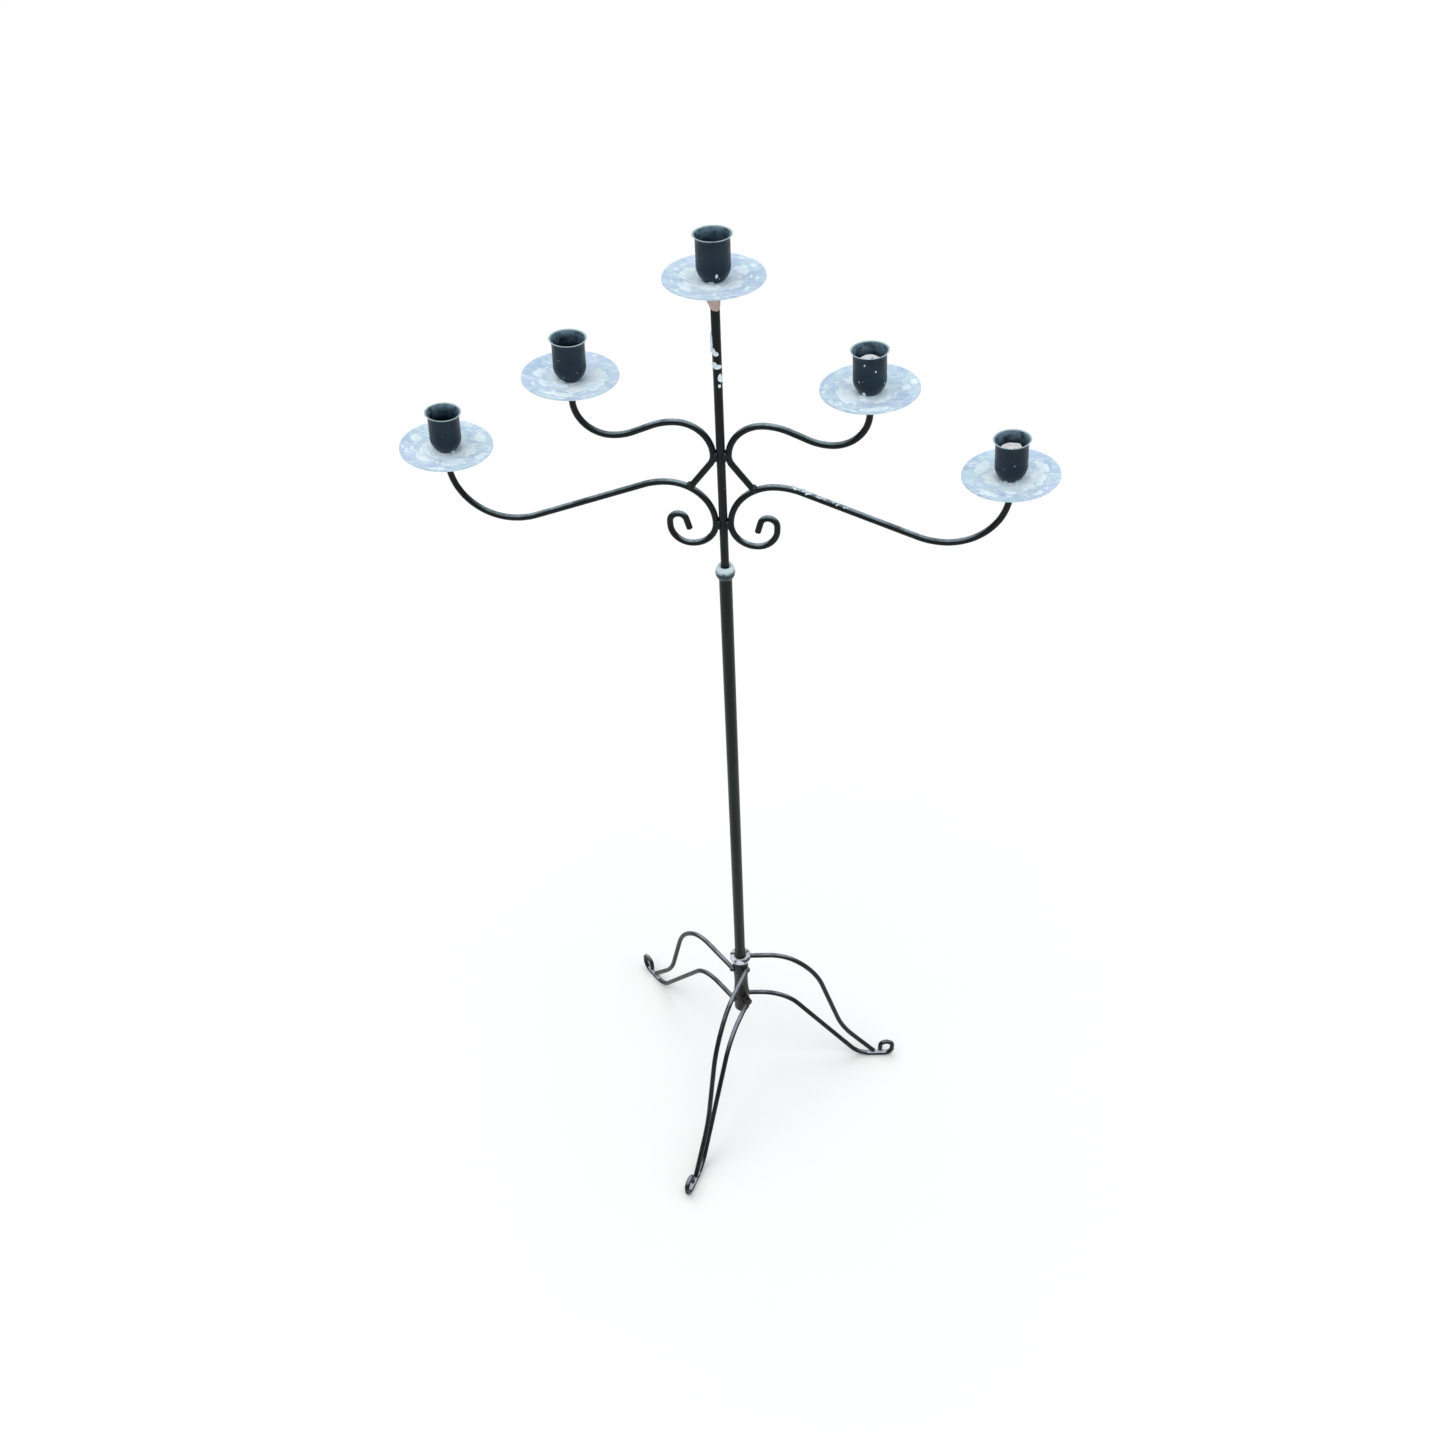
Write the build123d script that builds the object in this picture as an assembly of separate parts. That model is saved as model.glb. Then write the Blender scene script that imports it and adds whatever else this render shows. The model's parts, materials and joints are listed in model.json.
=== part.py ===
from build123d import *
import os
from dataclasses import dataclass
from math import copysign, cos, radians, sin, sqrt, tan

# A five-light standing candelabrum in black-painted steel, in millimetres. +Z is up, the origin is on the
# pole's axis at floor level, and the arms spread along X. The object has three sections: a tripod base with
# a hub sleeve, a tube pole that turns in the sleeve, and a candle section that lifts out of the pole.

# ---- driving dimensions ---------------------------------------------------------------------------------
BAR_R = 3.0              # 6 mm round bar: arms and legs
STEM_R = 4.0             # 8 mm round bar: centre stem
SCREW_R = 2.0            # M4 screws that hold cup and pan

# Candle section
UPPER_REACH = 129.0      # stem axis to the upper candles
LOWER_REACH = 254.0      # stem axis to the lower candles
TOP_SEAT_Z = 1132.0      # underside of the top pan
UPPER_SEAT_Z = 1038.0
LOWER_SEAT_Z = 961.0
UPPER_LEAN = 2.5         # degrees by which the arms' tips, pans and cups lean in towards the stem
LOWER_LEAN = 4.5

# Drip pan and candle cup
PAN_R = 42.5
PAN_FLOOR_R = 10.0
PAN_RISE = 3.9
PAN_SHEET = 1.2
CUP_HEIGHT = 38.0
CUP_R = 14.2
CUP_WALL = 1.2
CUP_FOOT_R = 7.5
CUP_BOWL_HEIGHT = 15.0
CUP_RIM_R = 16.4
CUP_RIM_HEIGHT = 4.5

# Pole
TUBE_R = 6.35            # half-inch tube
TUBE_BORE_R = 4.85
TUBE_BOTTOM_Z = 142.0
COLLAR_R = 9.5
COLLAR_HEIGHT = 14.0
COLLAR_TOP_Z = 849.0
COLLAR_LIP = 5.0         # thickness of the collar above the tube's end
STEM_DEPTH = 80.0        # how far the stem goes down into the pole
SEAT_HEIGHT = 12.0
FLARE_R = 7.6            # the pole's shoulder, which stands on the hub ring
FLARE_HEIGHT = 15.0

# Base
SLEEVE_R = 9.75
SLEEVE_WAIST_R = 8.6
SLEEVE_WAIST_Z = (169.0, 215.0)      # the sleeve is straight below and above its drawn-in waist
SLEEVE_BOTTOM_Z = 136.0
SLEEVE_TOP_Z = 238.0
RING_R = 13.0
RING_HEIGHT = 5.5
# The legs were bent and welded by hand. Each one's bearing in degrees from +X, by how much it reaches further
# out than the first leg, and the heights at which its upper and lower bars meet the sleeve:
LEGS = ((8.3, 0.0, 228.0, 149.5), (136.3, 15.0, 220.0, 155.0), (254.8, 6.0, 221.0, 152.0))

# Clamp screw through the sleeve, just over one leg's lower bar
CLAMP_R = 2.5
CLAMP_ANGLE = -50.0
CLAMP_Z = 163.0
NUT_FLATS = 8.0
NUT_HEIGHT = 5.0
HEAD_HEIGHT = 4.0

# Clearances
RUNNING = 0.08           # radial, shaft in hole
CLAMP_GAP = 0.6          # from the loosened clamp screw's tip to the tube
REST_GAP = 0.1           # between faces that rest on each other across a joint
BORE_CLEAR = 0.25        # radial, where a bar only passes through


# ---- bars and tubes --------------------------------------------------------------------------------------
def bend_path(start, heading, moves):
    """Centre line in a drawing plane: a number is a straight run, a pair a bend's radius and turn in degrees."""
    point = Vector(*start)
    edges = []
    for move in moves:
        along = Vector(cos(radians(heading)), sin(radians(heading)))
        if isinstance(move, tuple):
            radius, turn = move
            edge = JernArc(point, along, radius, turn)
            heading += turn
        else:
            edge = Line(point, point + along * move)
        point = edge @ 1
        edges.append(edge)
    return Wire(edges)


def bent_bar(path, radius=BAR_R):
    """Round bar along a drawing-plane path, stood up so that the drawing's Y becomes Z."""
    section = Plane(origin=path @ 0, z_dir=path % 0) * Circle(radius)
    return Rot(90, 0, 0) * sweep(section, path=path)


def tube_between(bottom, top, outer, inner):
    """Upright tube on the Z axis."""
    height = top - bottom
    ring = Circle(outer) - Circle(inner)
    return Pos(0, 0, bottom) * extrude(ring, height)


def rod_between(bottom, top, radius):
    return Pos(0, 0, bottom) * extrude(Circle(radius), top - bottom)


def mirrored(shape):
    return mirror(shape, Plane.YZ)


# ---- arms -----------------------------------------------------------------------------------------------
TOUCH_X = STEM_R + BAR_R          # where an arm's centre line passes the stem, with the two bars touching
SCREW_DEPTH = 9.0


@dataclass
class Arm:
    """One arm's centre line: down from its candle, through a dip, up a slope, over a crest, down the stem."""

    reach: float
    seat_z: float
    lean: float
    drop: float              # straight tip under the pan
    dip_r: float
    slope: float             # degrees
    rise_r: float            # bend from the dip into the slope
    crest_r: float           # bend from the slope into the crest
    shoulder_r: float        # bend from the crest down to the stem

    def slope_run(self):
        """Length of the slope's straight middle, so that the arm spans from its candle to the stem."""
        tip = self.drop * sin(radians(self.lean)) - self.dip_r * cos(radians(self.lean))
        bends = (self.rise_r + self.crest_r) * sin(radians(self.slope)) + self.shoulder_r
        return (self.reach + tip - TOUCH_X - bends) / cos(radians(self.slope))

    def touch_z(self):
        """Height at which the arm's shoulder ends, against the stem."""
        fall = self.drop * cos(radians(self.lean)) + self.dip_r * (1 + sin(radians(self.lean)))
        bends = (self.rise_r + self.crest_r) * (1 - cos(radians(self.slope)))
        climb = bends + self.slope_run() * sin(radians(self.slope))
        return self.seat_z - fall + climb - self.shoulder_r

    def path(self, ending):
        """Centre line from the pan's underside to the stem, and then through the `ending` moves."""
        moves = [
            self.drop, (self.dip_r, -90 - self.lean), (self.rise_r, -self.slope), self.slope_run(),
            (self.crest_r, self.slope), (self.shoulder_r, 90),
        ]
        return bend_path((self.reach, self.seat_z), self.lean - 90, moves + ending)


UPPER = Arm(
    reach=UPPER_REACH, seat_z=UPPER_SEAT_Z, lean=UPPER_LEAN, drop=19.5, dip_r=32.0, slope=23.5,
    rise_r=50.0, crest_r=56.0, shoulder_r=32.0,
)
LOWER = Arm(
    reach=LOWER_REACH, seat_z=LOWER_SEAT_Z, lean=LOWER_LEAN, drop=14.0, dip_r=53.0, slope=21.0,
    rise_r=68.0, crest_r=64.0, shoulder_r=42.5,
)
SCROLL = [(23.6, 90), (19.5, 90), 4.0, (8.5, 90), (7.2, 75), 10.5]
TAIL_BEND_R = 15.0
TAIL_DEG = 37.0


def tail_length():
    """Run of the upper arm's tail, from its last bend to just above the lower arm's centre line."""
    turn = radians(TAIL_DEG)
    start_x = TOUCH_X + TAIL_BEND_R * (1 - cos(turn))
    start_z = UPPER.touch_z() - TAIL_BEND_R * sin(turn)
    to_centre_x = start_x - (TOUCH_X + LOWER.shoulder_r)
    to_centre_z = start_z - LOWER.touch_z()
    along = to_centre_x * sin(turn) - to_centre_z * cos(turn)
    stop_radius = LOWER.shoulder_r + BAR_R / 3
    return -along - sqrt(along**2 - to_centre_x**2 - to_centre_z**2 + stop_radius**2)


def holder_place(x, seat_z, lean):
    """Where a holder stands: on its seat, its own +Z leaning in towards the stem."""
    return Pos(x, 0, seat_z) * Rot(0, -copysign(lean, x), 0)


def tapped(bar, place):
    """Cuts the cup screw's hole in the top of a bar."""
    return bar - place * rod_between(-SCREW_DEPTH, 1, SCREW_R)


UPPER_PATH = UPPER.path([(TAIL_BEND_R, TAIL_DEG), tail_length()])
LOWER_PATH = LOWER.path(SCROLL)
lower_arm = tapped(bent_bar(LOWER_PATH), holder_place(LOWER_REACH, LOWER_SEAT_Z, LOWER_LEAN))
upper_arm = tapped(bent_bar(UPPER_PATH), holder_place(UPPER_REACH, UPPER_SEAT_Z, UPPER_LEAN)) - lower_arm

STEM_BOTTOM_Z = COLLAR_TOP_Z - STEM_DEPTH
stem = tapped(rod_between(STEM_BOTTOM_Z, TOP_SEAT_Z, STEM_R), Pos(0, 0, TOP_SEAT_Z))
stem = chamfer(stem.edges().group_by(Axis.Z)[0], 1.0)


# ---- welds of the candle section ------------------------------------------------------------------------
BEAD_R = 2.3
BEAD_LENGTH = 9.0
KNOT_R = 3.9


def bead(x, y, z):
    """Upright weld bead with round ends."""
    straight = BEAD_LENGTH - 2 * BEAD_R
    shank = Pos(x, y, z) * Cylinder(BEAD_R, straight)
    lower_end = Pos(x, y, z - straight / 2) * Sphere(BEAD_R)
    upper_end = Pos(x, y, z + straight / 2) * Sphere(BEAD_R)
    return shank + lower_end + upper_end


def arm_weld_group():
    """Beads in the grooves between stem and arms, front and back, and a knot where each tail lands."""
    welds = []
    for side in (1, -1):
        arms = [upper_arm, lower_arm] if side == 1 else [mirrored(upper_arm), mirrored(lower_arm)]
        for height in (UPPER.touch_z(), LOWER.touch_z()):
            for front in (1, -1):
                blob = bead(side * (STEM_R + 0.2), front * (BEAD_R + 0.3), height)
                welds.append(blob - stem - arms[0] - arms[1])
        tail_end = UPPER_PATH @ 1
        knot = Pos(side * tail_end.X, 0, tail_end.Y + BAR_R / 2) * Sphere(KNOT_R)
        welds.append(knot - arms[0] - arms[1])
    return Compound(children=[solid for weld in welds for solid in weld.solids()])


# ---- candle holders -------------------------------------------------------------------------------------
def pan():
    """Shallow dish, its flat floor on z = 0, drawn as a cross-section and revolved."""
    span = PAN_R - PAN_FLOOR_R
    radius = (span**2 + PAN_RISE**2) / (2 * PAN_RISE)
    half = sqrt(radius**2 - (span / 2) ** 2)
    half_top = sqrt((radius - PAN_SHEET) ** 2 - (span / 2) ** 2)
    lean = PAN_RISE / span
    rim_in = PAN_R - PAN_SHEET * lean * 2
    rim_top = radius - sqrt((radius - PAN_SHEET) ** 2 - (rim_in - PAN_FLOOR_R) ** 2)
    under_mid = (PAN_FLOOR_R + span / 2, radius - half)
    upper_mid = (PAN_FLOOR_R + span / 2, radius - half_top)
    outline = [
        Line((SCREW_R, 0), (PAN_FLOOR_R, 0)),
        ThreePointArc((PAN_FLOOR_R, 0), under_mid, (PAN_R, PAN_RISE)),
        Line((PAN_R, PAN_RISE), (rim_in, rim_top)),
        ThreePointArc((rim_in, rim_top), upper_mid, (PAN_FLOOR_R, PAN_SHEET)),
        Line((PAN_FLOOR_R, PAN_SHEET), (SCREW_R, PAN_SHEET)),
        Line((SCREW_R, PAN_SHEET), (SCREW_R, 0)),
    ]
    return revolve(Rot(90, 0, 0) * make_face(Wire(outline)), Axis.Z)


def cup_side(offset, foot_z):
    """Half outline of the cup from foot to rim, drawn inwards of the outside by `offset`."""
    side_r = CUP_R - offset
    foot_r = CUP_FOOT_R - offset / 2
    rim_r = CUP_RIM_R - offset
    wall_z = CUP_HEIGHT - CUP_RIM_HEIGHT
    belly = ThreePointArc(
        (foot_r, foot_z),
        (side_r - (side_r - foot_r) * 0.24, foot_z + (CUP_BOWL_HEIGHT - foot_z) * 0.38),
        (side_r, CUP_BOWL_HEIGHT),
    )
    wall = Line((side_r, CUP_BOWL_HEIGHT), (side_r, wall_z))
    mouth = ThreePointArc(
        (side_r, wall_z),
        (side_r + (rim_r - side_r) * 0.3, wall_z + CUP_RIM_HEIGHT * 0.6),
        (rim_r, CUP_HEIGHT),
    )
    return [belly, wall, mouth]


def cup():
    """Round-bottomed cup with straight sides and a turned-out rim, its foot on z = 0."""
    outer = cup_side(0, 0)
    inner = cup_side(CUP_WALL, CUP_WALL)
    outline = outer + inner + [
        Line(outer[-1] @ 1, inner[-1] @ 1),
        Line((SCREW_R, 0), outer[0] @ 0),
        Line((SCREW_R, CUP_WALL), inner[0] @ 0),
        Line((SCREW_R, 0), (SCREW_R, CUP_WALL)),
    ]
    return revolve(Rot(90, 0, 0) * make_face(Wire(outline)), Axis.Z)


def cup_screw():
    """Slotted pan-head screw: the head stands on the cup's floor, the shank reaches into the bar."""
    head_bottom = PAN_SHEET + CUP_WALL
    head_r = 3.6
    head_height = 2.2
    head = rod_between(head_bottom, head_bottom + head_height, head_r)
    head = fillet(head.edges().group_by(Axis.Z)[-1], 1.0)
    slot = Pos(0, 0, head_bottom + head_height) * Box(2 * head_r, 1.0, 2.0)
    shank = rod_between(1 - SCREW_DEPTH, head_bottom, SCREW_R)
    return head + shank - slot


HOLDERS = {
    "top": holder_place(0, TOP_SEAT_Z, 0),
    "upper_left": holder_place(-UPPER_REACH, UPPER_SEAT_Z, UPPER_LEAN),
    "upper_right": holder_place(UPPER_REACH, UPPER_SEAT_Z, UPPER_LEAN),
    "lower_left": holder_place(-LOWER_REACH, LOWER_SEAT_Z, LOWER_LEAN),
    "lower_right": holder_place(LOWER_REACH, LOWER_SEAT_Z, LOWER_LEAN),
}


# ---- pole -----------------------------------------------------------------------------------------------
RING_TOP_Z = SLEEVE_TOP_Z + RING_HEIGHT
SHOULDER_Z = RING_TOP_Z + REST_GAP
TUBE_TOP_Z = COLLAR_TOP_Z - COLLAR_LIP


def pole_tube():
    """Tube with a flared shoulder that stands on the hub ring."""
    outline = Polyline(
        (TUBE_BORE_R, TUBE_BOTTOM_Z), (TUBE_R, TUBE_BOTTOM_Z), (TUBE_R, SHOULDER_Z), (FLARE_R, SHOULDER_Z),
        (TUBE_R, SHOULDER_Z + FLARE_HEIGHT), (TUBE_R, TUBE_TOP_Z), (TUBE_BORE_R, TUBE_TOP_Z),
        close=True,
    )
    return revolve(Rot(90, 0, 0) * make_face(outline), Axis.Z)


def pole_collar():
    """Rounded cap over the tube's end, bored for the stem."""
    bottom = COLLAR_TOP_Z - COLLAR_HEIGHT
    neck_r = TUBE_R + 0.9
    crown_r = 6.8
    side = ThreePointArc((neck_r, bottom), (COLLAR_R, bottom + 0.58 * COLLAR_HEIGHT), (crown_r, COLLAR_TOP_Z))
    bore_r = STEM_R + RUNNING
    inside = Polyline(
        side @ 1, (bore_r + 1.2, COLLAR_TOP_Z - 0.4), (bore_r, COLLAR_TOP_Z - 1.6), (bore_r, TUBE_TOP_Z),
        (TUBE_R, TUBE_TOP_Z), (TUBE_R, bottom), side @ 0,
    )
    return revolve(Rot(90, 0, 0) * make_face(Wire([side] + list(inside.edges()))), Axis.Z)


def stem_seat():
    """Plug fixed inside the tube, which the stem's foot stands on."""
    top = STEM_BOTTOM_Z - REST_GAP
    return rod_between(top - SEAT_HEIGHT, top, TUBE_BORE_R)


# ---- base -----------------------------------------------------------------------------------------------
LEG_OFFSET = 10.0                 # each leg's plane runs past the pole's axis at this distance
BAR_START = 5.0                   # the bars begin here along the leg, coped against the sleeve

UPPER_LEG_ROOT = 30.0
UPPER_KNEE = [(55.0, -39), (108.0, -34.5)]
UPPER_FALL = 74.0                 # straight run below the knee, at UPPER_FALL_DEG, of a bar that starts at UPPER_Z
UPPER_FALL_DEG = 73.5
UPPER_Z = 227.0
UPPER_INSTEP = [(130.0, 21), 49.5]

LOWER_LEG_ROOT = 18.0             # of a bar that starts at LOWER_Z
LOWER_Z = 149.5
KNEE_R = 61.5
SHIN_DEG = 54.8
FOOT_R = 35.0
SOLE_RUN = 15.5
TOE_LOOP = [(11.0, 90), 7.0, (8.0, 180), 9.0]

HUB_WELD_R = 3.6
HUB_WELD_SHIFT = (-1.8, 0.6)      # along and across the leg, from where the bars begin
TOE_WELD_R = 2.5
TOE_WELD_REACH = 7.0              # the toe's run of weld goes on this far past the bar ends it joins


def hub_sleeve(bore_r):
    """Sleeve with straight ends, where the legs are welded on, and a slightly drawn-in waist."""
    low_z, high_z = SLEEVE_WAIST_Z
    waist = ThreePointArc((SLEEVE_R, low_z), (SLEEVE_WAIST_R, (low_z + high_z) / 2), (SLEEVE_R, high_z))
    rest = Polyline(
        waist @ 1, (SLEEVE_R, SLEEVE_TOP_Z), (bore_r, SLEEVE_TOP_Z), (bore_r, SLEEVE_BOTTOM_Z),
        (SLEEVE_R, SLEEVE_BOTTOM_Z), waist @ 0,
    )
    return revolve(Rot(90, 0, 0) * make_face(Wire([waist] + list(rest.edges()))), Axis.Z)


def hub_ring():
    """Ring with rounded rims on the sleeve's top, which carries the pole's shoulder."""
    ring = tube_between(SLEEVE_TOP_Z, RING_TOP_Z, RING_R, TUBE_R + BORE_CLEAR)
    rims = ring.edges().filter_by(GeomType.CIRCLE).sort_by(SortBy.RADIUS)[-2:]
    return fillet(rims, 1.6)


def upper_leg_path(extra, start_z):
    """Upper bar's centre line: its end stays on the toe, whatever the height it starts from."""
    higher = start_z - UPPER_Z
    root = UPPER_LEG_ROOT + extra - higher / tan(radians(UPPER_FALL_DEG))
    fall = UPPER_FALL + higher / sin(radians(UPPER_FALL_DEG))
    return bend_path((BAR_START, start_z), 0, [root] + UPPER_KNEE + [fall] + UPPER_INSTEP)


def lower_leg_path(extra, start_z):
    """Lower bar's centre line: over the knee, down the shin to the floor, along the sole and round the toe."""
    root = LOWER_LEG_ROOT + extra - (start_z - LOWER_Z) / tan(radians(SHIN_DEG))
    bends = (KNEE_R + FOOT_R) * (1 - cos(radians(SHIN_DEG)))
    shin = (start_z - BAR_R - bends) / sin(radians(SHIN_DEG))
    moves = [root, (KNEE_R, -SHIN_DEG), shin, (FOOT_R, SHIN_DEG), SOLE_RUN]
    return bend_path((BAR_START, start_z), 0, moves + TOE_LOOP)


def leg(extra, upper_z, lower_z, plain_sleeve):
    """Upper bar, lower bar and welds of one leg along +X, its knee and toe `extra` further out."""
    upper_path = upper_leg_path(extra, upper_z)
    lower_path = lower_leg_path(extra, lower_z)
    lower = Pos(0, LEG_OFFSET, 0) * bent_bar(lower_path)
    upper = Pos(0, LEG_OFFSET, 0) * bent_bar(upper_path) - lower
    welds = leg_welds(upper, lower, upper_path, lower_path, plain_sleeve)
    return upper - plain_sleeve, lower - plain_sleeve, welds


def leg_welds(upper, lower, upper_path, lower_path, plain_sleeve):
    """Knots that close the bars' ends on the sleeve, and a run of weld that joins bars and loop at the toe."""
    welds = []
    along, across = HUB_WELD_SHIFT
    for path in (upper_path, lower_path):
        root = path @ 0
        place = Pos(root.X + along, LEG_OFFSET + across, root.Y)
        knot = place * Rot(0, 90, 0) * Sphere(HUB_WELD_R)
        welds.append(knot - plain_sleeve - upper - lower)
    start = (upper_path @ 1).X - TOE_WELD_REACH
    end = (lower_path @ 1).X + TOE_WELD_REACH
    bead_z = 2 * BAR_R + 0.4
    line = Pos((start + end) / 2, LEG_OFFSET, bead_z) * Rot(0, 90, 0) * Cylinder(TOE_WELD_R, end - start)
    near = Pos(start, LEG_OFFSET, bead_z) * Sphere(TOE_WELD_R)
    far = Pos(end, LEG_OFFSET, bead_z) * Sphere(TOE_WELD_R)
    welds.append(line + near + far - upper - lower)
    return [solid for weld in welds for solid in weld.solids()]


# ---- clamp ----------------------------------------------------------------------------------------------
def outward(shape):
    """Turns a piece drawn along +Z from the origin to point out of the sleeve at the clamp."""
    return Pos(0, 0, CLAMP_Z) * Rot(0, 0, CLAMP_ANGLE) * Rot(0, 90, 0) * shape


def hexagon(height):
    return extrude(RegularPolygon(NUT_FLATS / 2, 6, major_radius=False, rotation=30), height)


def clamp_nut(sleeve):
    block = Pos(0, 0, SLEEVE_R - 0.8) * hexagon(NUT_HEIGHT)
    hole = rod_between(0, 2 * SLEEVE_R, CLAMP_R + RUNNING)
    return outward(block - hole) - sleeve


def clamp_screw():
    tip = TUBE_R + CLAMP_GAP
    head_start = SLEEVE_R - 0.8 + NUT_HEIGHT + 1.2
    shank = rod_between(tip, head_start, CLAMP_R)
    shank = chamfer(shank.edges().group_by(Axis.Z)[0], 0.5)
    head = Pos(0, 0, head_start) * hexagon(HEAD_HEIGHT)
    dome = Pos(0, 0, head_start) * Cone(NUT_FLATS / 2 + 3.2, NUT_FLATS / 2 - 0.4, HEAD_HEIGHT,
                                        align=(Align.CENTER, Align.CENTER, Align.MIN))
    return outward(shank + (head & dome))


# ---- every node -----------------------------------------------------------------------------------------
parts = {}
parts["stem"] = stem
parts["upper_arm_right"] = upper_arm
parts["upper_arm_left"] = mirrored(upper_arm)
parts["lower_arm_right"] = lower_arm
parts["lower_arm_left"] = mirrored(lower_arm)
parts["arm_welds"] = arm_weld_group()

for name, place in HOLDERS.items():
    parts[f"drip_pan_{name}"] = place * pan()
    parts[f"candle_cup_{name}"] = place * Pos(0, 0, PAN_SHEET) * cup()
    parts[f"cup_screw_{name}"] = place * cup_screw()

parts["pole_tube"] = pole_tube()
parts["pole_collar"] = pole_collar()
parts["stem_seat"] = stem_seat()

clamp_hole = outward(rod_between(0, 2 * SLEEVE_R, CLAMP_R + RUNNING))
parts["hub_sleeve"] = hub_sleeve(TUBE_R + RUNNING) - clamp_hole
parts["hub_ring"] = hub_ring()

plain_sleeve = rod_between(SLEEVE_BOTTOM_Z, SLEEVE_TOP_Z, SLEEVE_R)
all_leg_welds = []
for number, (angle, extra, upper_z, lower_z) in enumerate(LEGS, start=1):
    turn = Rot(0, 0, angle)
    upper_bar, lower_bar, welds = leg(extra, upper_z, lower_z, plain_sleeve)
    parts[f"leg_upper_bar_{number}"] = turn * upper_bar
    parts[f"leg_lower_bar_{number}"] = turn * lower_bar
    all_leg_welds += [turn * weld for weld in welds]
parts["leg_welds"] = Compound(children=all_leg_welds)

parts["clamp_nut"] = clamp_nut(plain_sleeve)
parts["clamp_screw"] = clamp_screw()

os.makedirs("parts", exist_ok=True)
for name, shape in parts.items():
    export_step(shape, f"parts/{name}.step")
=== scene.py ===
"""Looks for a five-light standing candelabrum: satin black paint, worn edges and years of white candle wax.

Lengths are in metres in the frame's axes: +Z up the pole, +X along the arms, -Y towards the viewer.
"""

import json
import math
import random

import bmesh
import bpy
import numpy as np
from mathutils import Matrix, Vector
from mathutils.bvhtree import BVHTree


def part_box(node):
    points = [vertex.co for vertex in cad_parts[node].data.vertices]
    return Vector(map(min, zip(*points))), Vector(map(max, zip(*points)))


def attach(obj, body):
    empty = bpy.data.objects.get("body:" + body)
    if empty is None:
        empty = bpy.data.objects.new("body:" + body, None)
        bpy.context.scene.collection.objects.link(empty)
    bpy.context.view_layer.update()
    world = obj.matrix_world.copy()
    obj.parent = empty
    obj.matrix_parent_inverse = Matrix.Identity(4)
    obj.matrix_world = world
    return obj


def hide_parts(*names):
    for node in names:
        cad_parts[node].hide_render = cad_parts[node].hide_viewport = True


MM = 0.001
TURN = 2 * math.pi
PHASES = (0, 6.28)               # range of a wave's random phase

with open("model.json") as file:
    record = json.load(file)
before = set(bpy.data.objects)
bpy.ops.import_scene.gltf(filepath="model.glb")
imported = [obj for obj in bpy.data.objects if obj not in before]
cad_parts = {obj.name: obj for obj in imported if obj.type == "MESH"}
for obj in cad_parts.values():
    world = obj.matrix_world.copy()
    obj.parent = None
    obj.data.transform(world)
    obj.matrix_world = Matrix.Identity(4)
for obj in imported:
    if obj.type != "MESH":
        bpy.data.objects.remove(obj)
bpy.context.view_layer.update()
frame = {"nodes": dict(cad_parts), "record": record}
NODES = frame["nodes"]
MOUNTS = {mount["name"]: mount for mount in frame["record"]["mounts"]}


# ---- camera, floor and light ----------------------------------------------------------------------------
CAMERA_PLACE = Vector((0.1718, -1.0174, 1.6149))
CAMERA_AZIMUTH = math.radians(-10.23)      # from +Y towards +X
CAMERA_DOWN = math.radians(43.13)
CAMERA_ROLL = math.radians(-2.67)
CAMERA_LENS = 33.66                        # mm, on a 36 mm sensor

FLOOR_HALF = 40.0
OVERHEAD_DISC = math.radians(64)           # apparent widths of the two lights
FILL_DISC = math.radians(60)
HORIZON_GREY = (0.30, 0.30, 0.31)
ZENITH_BLUE = (0.42, 0.50, 0.56)


def add_object(name, data):
    """A new object in the scene that shows `data`."""
    made = bpy.data.objects.new(name, data)
    bpy.context.scene.collection.objects.link(made)
    return made


def make_camera():
    """The camera, aimed by its bearing, by how far it looks down, and by its roll."""
    data = bpy.data.cameras.new("camera")
    data.lens = CAMERA_LENS
    data.sensor_width = 36.0
    data.clip_end = 200.0
    camera = add_object("camera", data)
    ahead = Vector((
        math.sin(CAMERA_AZIMUTH) * math.cos(CAMERA_DOWN),
        math.cos(CAMERA_AZIMUTH) * math.cos(CAMERA_DOWN),
        -math.sin(CAMERA_DOWN),
    ))
    right = ahead.cross(Vector((0, 0, 1))).normalized()
    up = right.cross(ahead)
    tilted_right = math.cos(CAMERA_ROLL) * right + math.sin(CAMERA_ROLL) * up
    tilted_up = math.cos(CAMERA_ROLL) * up - math.sin(CAMERA_ROLL) * right
    turn = Matrix((tilted_right, tilted_up, -ahead)).transposed()
    camera.matrix_world = Matrix.Translation(CAMERA_PLACE) @ turn.to_4x4()
    bpy.context.scene.camera = camera


def make_sun(name, direction, strength, disc, colour):
    """A soft distant light that shines from `direction`."""
    data = bpy.data.lights.new(name, "SUN")
    data.energy = strength
    data.angle = disc
    data.color = colour
    sun = add_object(name, data)
    sun.rotation_mode = "QUATERNION"
    sun.rotation_quaternion = Vector(direction).to_track_quat("Z", "Y")


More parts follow.
